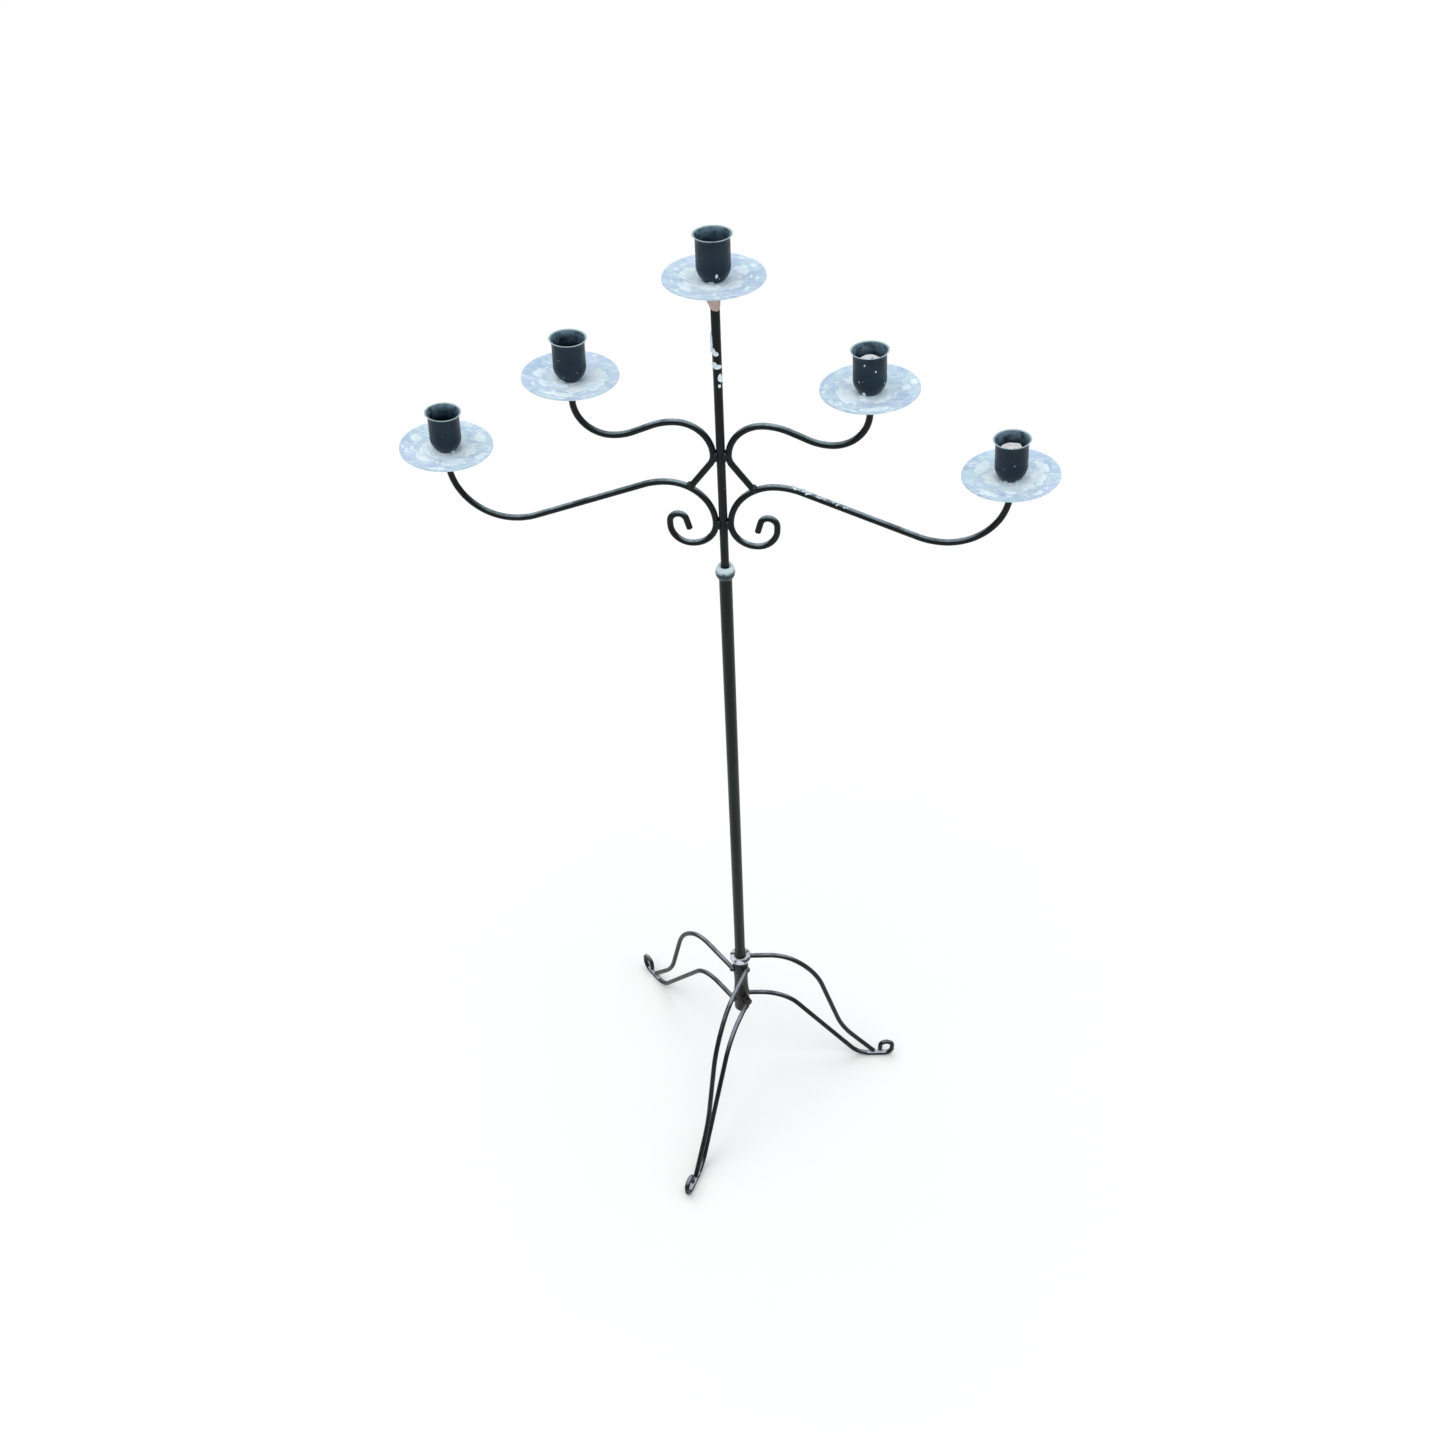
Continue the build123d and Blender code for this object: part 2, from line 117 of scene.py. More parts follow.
def make_world():
    """Even grey surroundings, cooler and brighter overhead."""
    world = bpy.data.worlds.new("studio")
    world.use_nodes = True
    tree = world.node_tree
    background = tree.nodes["Background"]
    where = tree.nodes.new("ShaderNodeTexCoord")
    split = tree.nodes.new("ShaderNodeSeparateXYZ")
    fade = tree.nodes.new("ShaderNodeValToRGB")
    fade.color_ramp.elements[0].position = 0.0
    fade.color_ramp.elements[0].color = (*HORIZON_GREY, 1)
    fade.color_ramp.elements[1].position = 0.9
    fade.color_ramp.elements[1].color = (*ZENITH_BLUE, 1)
    tree.links.new(where.outputs["Generated"], split.inputs[0])
    tree.links.new(split.outputs["Z"], fade.inputs["Fac"])
    tree.links.new(fade.outputs["Color"], background.inputs["Color"])
    background.inputs["Strength"].default_value = 1.0
    bpy.context.scene.world = world


# ---- node trees -----------------------------------------------------------------------------------------
class Look:
    """A procedural material and short ways to add nodes to it. Colours are linear."""

    def __init__(self, name):
        self.material = bpy.data.materials.new(name)
        self.material.use_nodes = True
        self.tree = self.material.node_tree
        self.shader = self.tree.nodes["Principled BSDF"]
        self.coords = self.tree.nodes.new("ShaderNodeTexCoord")
        self.place = self.coords.outputs["Object"]

    def put(self, socket, value):
        """Sets an input, or joins it to another node's output."""
        if isinstance(value, bpy.types.NodeSocket):
            self.tree.links.new(value, socket)
        elif isinstance(value, tuple) and len(value) == 3 and socket.type == "RGBA":
            socket.default_value = (*value, 1)
        else:
            socket.default_value = value

    def give(self, **inputs):
        """Sets the shader's own sockets: give(Base_Color=..., Roughness=...)."""
        for name, value in inputs.items():
            self.put(self.shader.inputs[name.replace("_", " ")], value)

    def math(self, operation, first, second=0.0, clamp=False):
        node = self.tree.nodes.new("ShaderNodeMath")
        node.operation = operation
        node.use_clamp = clamp
        self.put(node.inputs[0], first)
        self.put(node.inputs[1], second)
        return node.outputs[0]

    def times(self, first, second):
        return self.math("MULTIPLY", first, second)

    def plus(self, first, second):
        return self.math("ADD", first, second)

    def stretch(self, x, y, z, place=None):
        """Coordinates multiplied axis by axis, so that a pattern becomes streaks."""
        node = self.tree.nodes.new("ShaderNodeVectorMath")
        node.operation = "MULTIPLY"
        self.put(node.inputs[0], place or self.place)
        node.inputs[1].default_value = (x, y, z)
        return node.outputs[0]

    def noise(self, scale, detail=4.0, place=None, shift=0.0, distortion=0.0, roughness=0.55):
        node = self.tree.nodes.new("ShaderNodeTexNoise")
        node.noise_dimensions = "4D"
        self.put(node.inputs["Vector"], place or self.place)
        node.inputs["W"].default_value = shift
        node.inputs["Scale"].default_value = scale
        node.inputs["Detail"].default_value = detail
        node.inputs["Roughness"].default_value = roughness
        node.inputs["Distortion"].default_value = distortion
        return node.outputs["Fac"]

    def cells(self, scale, place=None):
        """Distance to the nearest of many scattered points, for specks."""
        node = self.tree.nodes.new("ShaderNodeTexVoronoi")
        self.put(node.inputs["Vector"], place or self.place)
        node.inputs["Scale"].default_value = scale
        return node.outputs["Distance"]

    def ramp(self, value, start, end, low=0.0, high=1.0):
        """`value` mapped smoothly from start..end to low..high."""
        node = self.tree.nodes.new("ShaderNodeMapRange")
        node.interpolation_type = "SMOOTHSTEP"
        self.put(node.inputs["Value"], value)
        node.inputs["From Min"].default_value = start
        node.inputs["From Max"].default_value = end
        node.inputs["To Min"].default_value = low
        node.inputs["To Max"].default_value = high
        return node.outputs["Result"]

    def mix(self, share, first, second):
        node = self.tree.nodes.new("ShaderNodeMix")
        node.data_type = "RGBA"
        self.put(node.inputs["Factor"], share)
        self.put(node.inputs[6], first)
        self.put(node.inputs[7], second)
        return node.outputs[2]

    def bump(self, height, depth, over=None):
        """Relief of `depth` metres, laid over an earlier relief."""
        node = self.tree.nodes.new("ShaderNodeBump")
        node.inputs["Strength"].default_value = 1.0
        node.inputs["Distance"].default_value = depth
        self.put(node.inputs["Height"], height)
        if over is not None:
            self.put(node.inputs["Normal"], over)
        return node.outputs["Normal"]

    def upward(self):
        """How far the surface faces up, from -1 to 1."""
        split = self.tree.nodes.new("ShaderNodeSeparateXYZ")
        self.put(split.inputs[0], self.coords.outputs["Normal"])
        return split.outputs["Z"]

    def height(self, place=None):
        split = self.tree.nodes.new("ShaderNodeSeparateXYZ")
        self.put(split.inputs[0], place or self.place)
        return split.outputs["Z"]

    def toward(self, x, y):
        """How far the surface faces a level direction, from -1 to 1."""
        node = self.tree.nodes.new("ShaderNodeVectorMath")
        node.operation = "DOT_PRODUCT"
        self.put(node.inputs[0], self.coords.outputs["Normal"])
        node.inputs[1].default_value = (x, y, 0)
        return node.outputs["Value"]

    def radius(self, place=None):
        """Distance from the local Z axis."""
        node = self.tree.nodes.new("ShaderNodeVectorMath")
        node.operation = "LENGTH"
        self.put(node.inputs[0], self.stretch(1, 1, 0, place))
        return node.outputs["Value"]

    def facing_axis(self, place):
        """Positive where the surface faces away from the local Z axis, negative where it faces it."""
        flat = self.tree.nodes.new("ShaderNodeVectorMath")
        flat.operation = "NORMALIZE"
        self.put(flat.inputs[0], self.stretch(1, 1, 0, place))
        node = self.tree.nodes.new("ShaderNodeVectorMath")
        node.operation = "DOT_PRODUCT"
        self.put(node.inputs[0], flat.outputs["Vector"])
        self.put(node.inputs[1], self.coords.outputs["Normal"])
        return node.outputs["Value"]

    def local_to(self, matrix):
        """Coordinates measured from a placed sub-part's own origin and axes."""
        node = self.tree.nodes.new("ShaderNodeMapping")
        node.vector_type = "TEXTURE"
        self.put(node.inputs["Vector"], self.place)
        node.inputs["Location"].default_value = matrix.to_translation()
        node.inputs["Rotation"].default_value = matrix.to_euler()
        return node.outputs["Vector"]


def dress(node_name, look):
    """Gives a CAD node its material."""
    mesh = NODES[node_name].data
    mesh.materials.clear()
    mesh.materials.append(look.material)


# ---- paints and metals ----------------------------------------------------------------------------------
# Pale colours laid on upward faces: partly real dust, partly a painted highlight of the sky overhead.
BLUISH_DUST_AND_SHEEN = (0.50, 0.62, 0.68)
SILVERY_DUST_AND_SHEEN = (0.60, 0.63, 0.70)
PRIMER = (0.42, 0.44, 0.45)
ARM_BLACKS = (0.0022, 0.0050, 0.0052), (0.006, 0.010, 0.011)
LEG_BLACKS = (0.0045, 0.0060, 0.0062), (0.016, 0.018, 0.019)
LEG_WELD_BLACKS = (0.007, 0.0085, 0.009), (0.020, 0.021, 0.022)
POLE_BLACKS = (0.0034, 0.0085, 0.0066), (0.009, 0.016, 0.012)
SLEEVE_BLACKS = (0.0020, 0.0040, 0.0034), (0.012, 0.017, 0.016)
EVEN = (1, 1, 1)                           # stretch of a pattern that doesn't run in streaks
CHIP_EDGE = 0.02
PAINTED_ABOVE = 26 * MM                    # welds are painted over this height and bare under BARE_BELOW
BARE_BELOW = 20 * MM
INNER_REFLECTION_DEPTH = 15 * MM                      # how far down inside the mouth a cup's painted reflection reaches
INNER_REFLECTION_FULL = 3 * MM
RIM_DEPTH = 0.55 * MM                      # height of a rim's pale edge, partly worn and partly a painted highlight
RIM_FADE = 0.4 * MM


def black_paint(name, blacks, dust_and_sheen_share, streaks=EVEN, chips=0.74, dust_and_sheen_from=0.30, dust_and_sheen=BLUISH_DUST_AND_SHEEN):
    """Satin brush paint with pale dust and a painted highlight along its top, small chips and a hand-painted
    relief.
    """
    look = Look(name)
    streaked = look.stretch(*streaks)
    body = look.mix(look.ramp(look.noise(38, 5, streaked), 0.35, 0.68), *blacks)
    # Dust and painted highlight: faces that point up are made pale blue-grey.
    upward = look.ramp(look.upward(), dust_and_sheen_from, 0.98)
    settled_and_lit = look.times(upward, look.ramp(look.noise(55, 6, shift=3), 0.30, 0.62, 0.30, 1.0))
    fine_dust_and_sheen = look.times(look.ramp(look.noise(700, 3, shift=5), 0.25, 0.7, 0.55, 1.0), settled_and_lit)
    dusted_and_lit = look.mix(look.times(fine_dust_and_sheen, dust_and_sheen_share), body, dust_and_sheen)
    chip = look.times(look.ramp(look.noise(230, 4, streaked, 7), chips, chips + CHIP_EDGE), 0.8)
    look.give(Base_Color=look.mix(chip, dusted_and_lit, PRIMER))
    satin = look.ramp(look.noise(120, 5, streaked, 9), 0.3, 0.7, 0.24, 0.40)
    look.give(Roughness=look.math("ADD", satin, look.times(fine_dust_and_sheen, 0.25), clamp=True))
    look.give(Specular_IOR_Level=0.16)
    brushed = look.bump(look.noise(260, 5, streaked, 11), 0.22 * MM)
    look.give(Normal=look.bump(look.noise(1500, 3, shift=13), 0.05 * MM, brushed))
    return look


def worn_steel():
    """The hub ring: paint rubbed off to pale metal, some left in patches and towards one side."""
    look = Look("worn_steel")
    patches = look.ramp(look.noise(170, 6, shift=2), 0.41, 0.50)
    rubbed = look.times(patches, look.ramp(look.toward(-0.75, -0.65), -0.55, -0.15))
    paint = look.mix(look.noise(300), (0.030, 0.032, 0.030), (0.075, 0.078, 0.075))
    steel = look.mix(look.noise(420, 5, shift=4), (0.50, 0.49, 0.57), (0.90, 0.90, 0.96))
    look.give(Base_Color=look.mix(rubbed, paint, steel))
    look.give(Metallic=look.times(rubbed, 0.15))
    look.give(Roughness=look.ramp(look.noise(500, 4, shift=6), 0.3, 0.7, 0.34, 0.55))
    look.give(Specular_IOR_Level=0.3)
    look.give(Normal=look.bump(look.noise(600, 4, shift=8), 0.3 * MM))
    return look


def collar_paint():
    """The collar's crown is pale round the stem, partly worn paint and partly a painted highlight on its
    upward faces; its neck keeps its paint.
    """
    look = Look("collar_paint")
    patches = look.noise(240, 5, shift=1)
    # Wear and painted highlight: the upward-facing crown is made pale blue-white.
    crown = look.ramp(look.plus(look.upward(), look.times(patches, 0.5)), 0.25, 0.72)
    paint = look.mix(look.noise(150), (0.010, 0.022, 0.028), (0.024, 0.044, 0.052))
    worn_and_highlit = look.mix(look.noise(500, shift=3), (0.56, 0.70, 0.76), (0.80, 0.93, 0.95))
    look.give(Base_Color=look.mix(crown, paint, worn_and_highlit))
    look.give(Roughness=look.ramp(look.noise(300, shift=5), 0.3, 0.7, 0.26, 0.42))
    look.give(Specular_IOR_Level=0.3)
    look.give(Normal=look.bump(look.noise(420, 4, shift=7), 0.14 * MM))
    return look


def leg_weld_paint():
    """The hub's knots are painted; the welds at the toes are bare and bright."""
    look = black_paint("leg_weld_paint", LEG_WELD_BLACKS, 0.5)
    painted = look.shader.inputs["Base Color"].links[0].from_socket
    uneven_height = look.plus(look.height(), look.times(look.noise(300, 4), 6 * MM))
    bare = look.ramp(uneven_height, PAINTED_ABOVE, BARE_BELOW)
    metal = look.mix(look.noise(380, 5, shift=2), (0.30, 0.31, 0.40), (0.72, 0.73, 0.84))
    look.give(Base_Color=look.mix(bare, painted, metal))
    return look


def screw_steel():
    """Dull plated steel of the cup screws."""
    look = Look("screw_steel")
    tone = look.mix(look.noise(600, 5), (0.16, 0.16, 0.16), (0.32, 0.32, 0.32))
    look.give(Base_Color=tone, Metallic=0.9)
    look.give(Roughness=look.ramp(look.noise(900, 4, shift=2), 0.3, 0.7, 0.3, 0.55))
    look.give(Normal=look.bump(look.noise(1200, 3, shift=4), 0.06 * MM))
    return look


def rusty_iron():
    """Dark rust with a few bare spots, on the clamp."""
    look = Look("rusty_iron")
    scale = look.noise(380, 8, shift=2, roughness=0.7)
    rust = look.mix(look.ramp(scale, 0.35, 0.65), (0.005, 0.0032, 0.0025), (0.028, 0.012, 0.008))
    bare = look.ramp(look.noise(260, 4, shift=4), 0.62, 0.70)
    look.give(Base_Color=look.mix(bare, rust, (0.16, 0.15, 0.14)))
    look.give(Metallic=look.times(bare, 0.8))
    look.give(Roughness=look.ramp(scale, 0.3, 0.7, 0.9, 0.55))
    look.give(Normal=look.bump(scale, 0.5 * MM))
    return look


def cup_paint(place, holder, seed):
    """Blue-black enamel, thin and bright along the turned-out rim, partly from wear and partly a painted
    highlight, with a painted reflection of the sky inside the mouth.
    """
    look = Look(f"cup_paint_{place}")
    own = look.local_to(holder.matrix)
    cloudy = look.ramp(look.noise(60, 4, own, seed), 0.3, 0.7)
    body = look.mix(cloudy, (0.004, 0.013, 0.024), (0.008, 0.026, 0.044))
    # Painted reflection: the upper inside of the mouth is made pale blue, as the sky would show there.
    inward = look.ramp(look.facing_axis(own), -0.3, -0.8)
    high = look.ramp(look.height(own), holder.cup_top - INNER_REFLECTION_DEPTH, holder.cup_top - INNER_REFLECTION_FULL)
    inner_reflection = look.times(look.times(inward, high), look.ramp(look.noise(150, 5, own, seed + 3), 0.30, 0.62))
    with_inner_reflection = look.mix(look.times(inner_reflection, 0.75), body, (0.19, 0.29, 0.37))
    # Wear and painted highlight: the rim's top edge is made pale grey-blue.
    rim_z = holder.cup_top - RIM_DEPTH
    rim = look.ramp(look.height(own), rim_z, rim_z + RIM_FADE)
    worn_and_highlit = look.times(rim, look.ramp(look.noise(180, 5, own, seed + 2), 0.28, 0.5, 0.45, 1.0))
    scuff = look.times(look.ramp(look.noise(330, 6, own, seed + 4), 0.69, 0.76), 0.35)
    scuffed_with_reflection = look.mix(scuff, with_inner_reflection, (0.20, 0.25, 0.28))
    look.give(Base_Color=look.mix(worn_and_highlit, scuffed_with_reflection, (0.42, 0.52, 0.53)))
    look.give(Roughness=look.ramp(look.noise(140, 5, own, seed + 6), 0.3, 0.7, 0.28, 0.44))
    look.give(Specular_IOR_Level=0.22)
    look.give(Normal=look.bump(look.noise(500, 4, own, seed + 8), 0.08 * MM))
    return look


def pan_paint(place, holder, seed):
    """A pan's top and edge are filmed over with smeared old wax; its underside shows the black paint."""
    look = Look(f"pan_paint_{place}")
    own = look.local_to(holder.matrix)
    broad = look.noise(30, 4, own, seed, 0.8)
    blues = look.mix(look.ramp(broad, 0.34, 0.66), (0.44, 0.58, 0.76), (0.60, 0.67, 0.86))
    cyans = look.mix(look.ramp(look.noise(50, 5, own, seed + 2, 1.0), 0.40, 0.70), blues, (0.58, 0.77, 0.82))
    smear_place = look.stretch(1, 2.2, 1, own)
    smears = look.ramp(look.noise(70, 7, smear_place, seed + 4, 1.6, 0.6), 0.44, 0.68)
    film = look.mix(look.times(smears, 0.8), cyans, (0.80, 0.89, 0.93))
    from_cup = look.plus(look.radius(own), look.times(look.noise(110, 5, own, seed + 5, 0.8), 22 * MM))
    near_cup = look.ramp(from_cup, 38 * MM, 24 * MM, 0.0, 0.8)
    film = look.mix(near_cup, film, (0.84, 0.93, 0.99))
    veins = look.ramp(look.noise(150, 6, own, seed + 9, 1.4, 0.65), 0.30, 0.44, 0.60, 0.0)
    film = look.mix(veins, film, (0.33, 0.45, 0.58))
    specks = look.ramp(look.cells(420, own), 0.09, 0.03)
    film = look.mix(look.times(specks, 0.22), film, (0.24, 0.32, 0.44))
    uneven_up = look.plus(look.upward(), look.times(look.noise(200, 4, own, seed + 6), 0.25))
    top = look.ramp(uneven_up, -0.10, 0.22)
    paint = look.mix(look.noise(90, 4, own, seed + 8), (0.006, 0.012, 0.017), (0.025, 0.036, 0.044))
    look.give(Base_Color=look.mix(top, paint, film))
    look.give(Roughness=look.ramp(look.noise(160, 5, own, seed + 10), 0.3, 0.7, 0.34, 0.56))
    look.give(Specular_IOR_Level=0.3)
    waxy = look.bump(look.noise(110, 6, own, seed + 12, 0.8), 0.9 * MM)
    look.give(Normal=look.bump(look.noise(700, 4, own, seed + 14), 0.12 * MM, waxy))
    return look


def wax_look(name, pale, deep, seed):
    """Old candle wax: soft, slightly see-through, greasy and a little dirty."""
    look = Look(name)
    tone = look.mix(look.ramp(look.noise(120, 5, shift=seed), 0.32, 0.66), deep, pale)
    dirt = look.times(look.ramp(look.noise(420, 6, shift=seed + 2), 0.64, 0.76), 0.3)
    look.give(Base_Color=look.mix(dirt, tone, (0.45, 0.50, 0.53)))
    look.give(Roughness=look.ramp(look.noise(200, 4, shift=seed + 4), 0.3, 0.7, 0.30, 0.52))
    look.give(Subsurface_Weight=0.15, Subsurface_Scale=2 * MM, Subsurface_Radius=(0.8, 0.9, 1.0))
    look.give(Specular_IOR_Level=0.35)
    soft = look.bump(look.noise(240, 4, shift=seed + 6), 0.3 * MM)
    look.give(Normal=look.bump(look.noise(900, 3, shift=seed + 8), 0.06 * MM, soft))
    return look


# ---- mesh helpers ---------------------------------------------------------------------------------------
def shade_smooth(mesh):
    mesh.polygons.foreach_set("use_smooth", [True] * len(mesh.polygons))


def new_piece(name, vertices, faces, look, body):
    """A smooth-shaded mesh piece that rides on a body."""
    mesh = bpy.data.meshes.new(name)
    mesh.from_pydata([tuple(v) for v in vertices], [], faces)
    mesh.materials.append(look.material)
    shade_smooth(mesh)
    mesh.update()
    piece = add_object(name, mesh)
    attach(piece, body)
    return piece


def wall_faces(rings, around):
    """Quads between closed rings of `around` vertices, which face outwards if each ring is over the last."""
    faces = []
    for ring in range(rings - 1):
        for step in range(around):
            a, b = ring * around + step, ring * around + (step + 1) % around
            faces.append((a, b, b + around, a + around))
    return faces


def tree_of(node_name):
    """Ray-casting tree of a CAD node."""
    mesh = NODES[node_name].data
    return BVHTree.FromPolygons([v.co for v in mesh.vertices], [tuple(p.vertices) for p in mesh.polygons])


def ripples(x, y, wave, seed, count=9):
    """Smooth random field between about -1 and 1, with bumps `wave` metres across."""
    rng = random.Random(seed)
    total = np.zeros_like(x)
    for _ in range(count):
        angle = rng.uniform(0, TURN)
        length = wave * rng.uniform(0.7, 1.6)
        along = x * math.cos(angle) + y * math.sin(angle)
        total += np.sin(TURN * along / length + rng.uniform(0, TURN))
    return total / math.sqrt(count)


# ---- candle holders -------------------------------------------------------------------------------------
PLACES = ("top", "upper_left", "upper_right", "lower_left", "lower_right")
PAN_SHEET = 1.2 * MM
BORE_ABOVE_SEAT = MOUNTS["candle_top"]["pos_m"][2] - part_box("drip_pan_top")[0].z
RAY_ROOM = 30 * MM               # rays start outside a pan or cup and may run this far


class Holder:
    """One pan and cup: where it stands, and rays dropped onto its surfaces, in its own axes."""

    def __init__(self, place):
        mount = MOUNTS[f"candle_{place}"]
        up = Vector(mount["axis"])
        turn = Vector((0, 0, 1)).rotation_difference(up).to_matrix().to_4x4()
        self.place = place
        self.matrix = Matrix.Translation(Vector(mount["pos_m"]) - up * BORE_ABOVE_SEAT) @ turn
        self.back = self.matrix.inverted()
        self.up = up
        self.pan = tree_of(f"drip_pan_{place}")
        self.cup = tree_of(f"candle_cup_{place}")
        cup = [self.back @ v.co for v in NODES[f"candle_cup_{place}"].data.vertices]
        pan = [self.back @ v.co for v in NODES[f"drip_pan_{place}"].data.vertices]
        self.cup_top = max(v.z for v in cup)
        self.cup_foot = min(v.z for v in cup)
        self.pan_radius = max(v.xy.length for v in pan)

    def pan_height(self, x, y):
        """Height of the pan's top surface over its seat."""
        start = self.matrix @ Vector((x, y, 20 * MM))
        hit = self.pan.ray_cast(start, -self.up, RAY_ROOM)[0]
        return (self.back @ hit).z if hit else None

    def cup_point(self, angle, height):
        """Point on the cup's outside, and the way it faces, in the shared frame."""
        outward = Vector((math.cos(angle), math.sin(angle), 0))
        start = self.matrix @ (outward * RAY_ROOM + Vector((0, 0, height)))
        hit, normal, _, _ = self.cup.ray_cast(start, -(self.matrix.to_3x3() @ outward), RAY_ROOM)
        return hit, normal


HOLDERS = {place: Holder(place) for place in PLACES}


# Wax puddles on each pan: (bearing in degrees, distance, width across the bearing, along it, and thickness).
# Lengths are in millimetres. The bearing turns from +X towards +Y, so -90 is the side nearest the viewer.
PUDDLES = {
    "top": [
        (-100, 13, 7, 6, 1.3), (-78, 15, 5, 4, 1.5), (-25, 20, 9, 6, 0.6), (160, 24, 10, 6, 0.5),
        (-140, 27, 8, 5, 0.5), (40, 26, 9, 5, 0.45), (100, 28, 10, 5, 0.4),
    ],
    "upper_left": [
        (-118, 12, 8, 6, 1.3), (-20, 22, 14, 10, 0.7), (-62, 20, 11, 6, 0.5), (172, 28, 7, 5, 0.6),
        (-150, 24, 6, 4, 0.5), (20, 24, 10, 7, 0.45), (-95, 30, 13, 4, 0.4),
    ],
    "upper_right": [
        (-150, 19, 14, 9, 1.0), (-112, 11, 5, 4, 1.6), (-48, 17, 9, 5, 0.5), (18, 37, 5, 3.5, 1.4),
        (8, 31, 4, 3, 0.5), (-80, 33, 12, 4, 0.4), (130, 24, 8, 5, 0.4),
    ],
    "lower_left": [
        (-165, 17, 9, 7, 0.8), (5, 19, 10, 8, 0.8), (-80, 38, 6, 2.6, 1.6), (-60, 26, 12, 6, 0.5),
        (40, 33, 7, 5, 0.6), (-130, 25, 9, 5, 0.6), (165, 32, 6, 5, 0.5), (-15, 36, 6, 4, 0.6),
    ],
    "lower_right": [
        (-168, 16, 10, 8, 0.9), (-8, 22, 12, 8, 0.8), (-92, 24, 5, 4, 0.6), (-45, 20, 8, 5, 0.5),
        (150, 28, 9, 6, 0.4), (25, 30, 9, 5, 0.5), (-125, 33, 11, 4, 0.4),
    ],
}
SPECKS = 46                      # small drips scattered over each pan
FOOT_RING_R = 8.6 * MM           # the ring of wax round a cup's foot
FOOT_RING_HALF = 2.8 * MM
FOOT_RING_HEIGHT = 0.9 * MM
PAN_MARGIN = 0.9 * MM            # bare edge of a pan
CELL = 0.45 * MM                 # step of the grid that a pan's wax is made on
SUNK = 0.35 * MM                 # wax edges end this far inside the pan's sheet
WAX_BELOW = 0.1 * MM             # and the wax's underside lies this much deeper


def wax_thickness(holder, x, y, seed):
    """Thickness of the wax at each point of a pan, negative where there is none."""
    rng = random.Random(seed)
    wobble = 0.30 * ripples(x, y, 7 * MM, seed) + 0.16 * ripples(x, y, 2.6 * MM, seed + 1)
    thick = np.full_like(x, -SUNK)

    def lay(bearing, distance, wide, deep, height):
        a = math.radians(bearing)
        centre_x, centre_y = distance * math.cos(a), distance * math.sin(a)
        across = -(x - centre_x) * math.sin(a) + (y - centre_y) * math.cos(a)
        along = (x - centre_x) * math.cos(a) + (y - centre_y) * math.sin(a)
        inside = 1 - (across / wide) ** 2 - (along / deep) ** 2 + wobble * 0.9
        dome = height * np.sqrt(np.clip(inside, 0, 1)) * (1 + 0.12 * wobble)
        np.maximum(thick, np.where(inside > 0, dome - 0.02 * MM, -SUNK), out=thick)

    for bearing, *lengths in PUDDLES[holder.place]:
        lay(bearing, *(length * MM for length in lengths))
    for _ in range(SPECKS):
        size = rng.uniform(0.5, 2.0) * MM
        bearing = rng.uniform(0, 360)
        distance = holder.pan_radius * math.sqrt(rng.uniform(0.08, 0.88))
        wide = size * rng.uniform(1, 2.2)
        lay(bearing, distance, wide, size, size * rng.uniform(0.15, 0.3))
    spread = np.hypot(x, y)
    foot = 1 - ((spread - FOOT_RING_R) / FOOT_RING_HALF) ** 2 + wobble * 0.8
    ring = FOOT_RING_HEIGHT * np.sqrt(np.clip(foot, 0, 1))
    np.maximum(thick, np.where(foot > 0, ring, -SUNK), out=thick)
    return thick


def pan_wax(holder, look, seed):
    """The wax on one pan, as closed lumps that sit a little into the pan's sheet."""
    reach = holder.pan_radius - PAN_MARGIN
    count = int(reach / CELL)
    steps = np.arange(-count, count + 1) * CELL
    x, y = np.meshgrid(steps, steps, indexing="ij")
    thick = wax_thickness(holder, x, y, seed)
    thick[np.hypot(x, y) > reach] = -SUNK
    waxed = thick > -SUNK * 0.98
    cell = waxed[:-1, :-1] | waxed[1:, :-1] | waxed[:-1, 1:] | waxed[1:, 1:]
    cell &= np.hypot(x[:-1, :-1], y[:-1, :-1]) < reach - CELL
    vertices, faces, upper = [], [], {}

    def corner(i, j):
        if (i, j) not in upper:
            height = holder.pan_height(x[i, j], y[i, j]) or PAN_SHEET
            upper[i, j] = len(vertices)
            vertices.append(holder.matrix @ Vector((x[i, j], y[i, j], height + thick[i, j])))
            vertices.append(holder.matrix @ Vector((x[i, j], y[i, j], height - SUNK - WAX_BELOW)))
        return upper[i, j]

    filled = {(int(i), int(j)) for i, j in zip(*np.nonzero(cell))}
    for i, j in sorted(filled):
        a, b, c, d = corner(i, j), corner(i + 1, j), corner(i + 1, j + 1), corner(i, j + 1)
        faces.append((a, b, c, d))
        faces.append((d + 1, c + 1, b + 1, a + 1))
        beside = ((i, j - 1), (i + 1, j), (i, j + 1), (i - 1, j))
        sides = ((a, b), (b, c), (c, d), (d, a))
        for neighbour, (p, q) in zip(beside, sides):
            if neighbour not in filled:
                faces.append((q, p, p + 1, q + 1))
    new_piece(f"wax_on_pan_{holder.place}", vertices, faces, look, "candle_section")


def random_waves(rng, count, spread):
    """Directions and phases of sine waves that together make a smooth random swelling."""
    return [(Vector([rng.gauss(0, spread) for _ in range(3)]), rng.uniform(*PHASES)) for _ in range(count)]


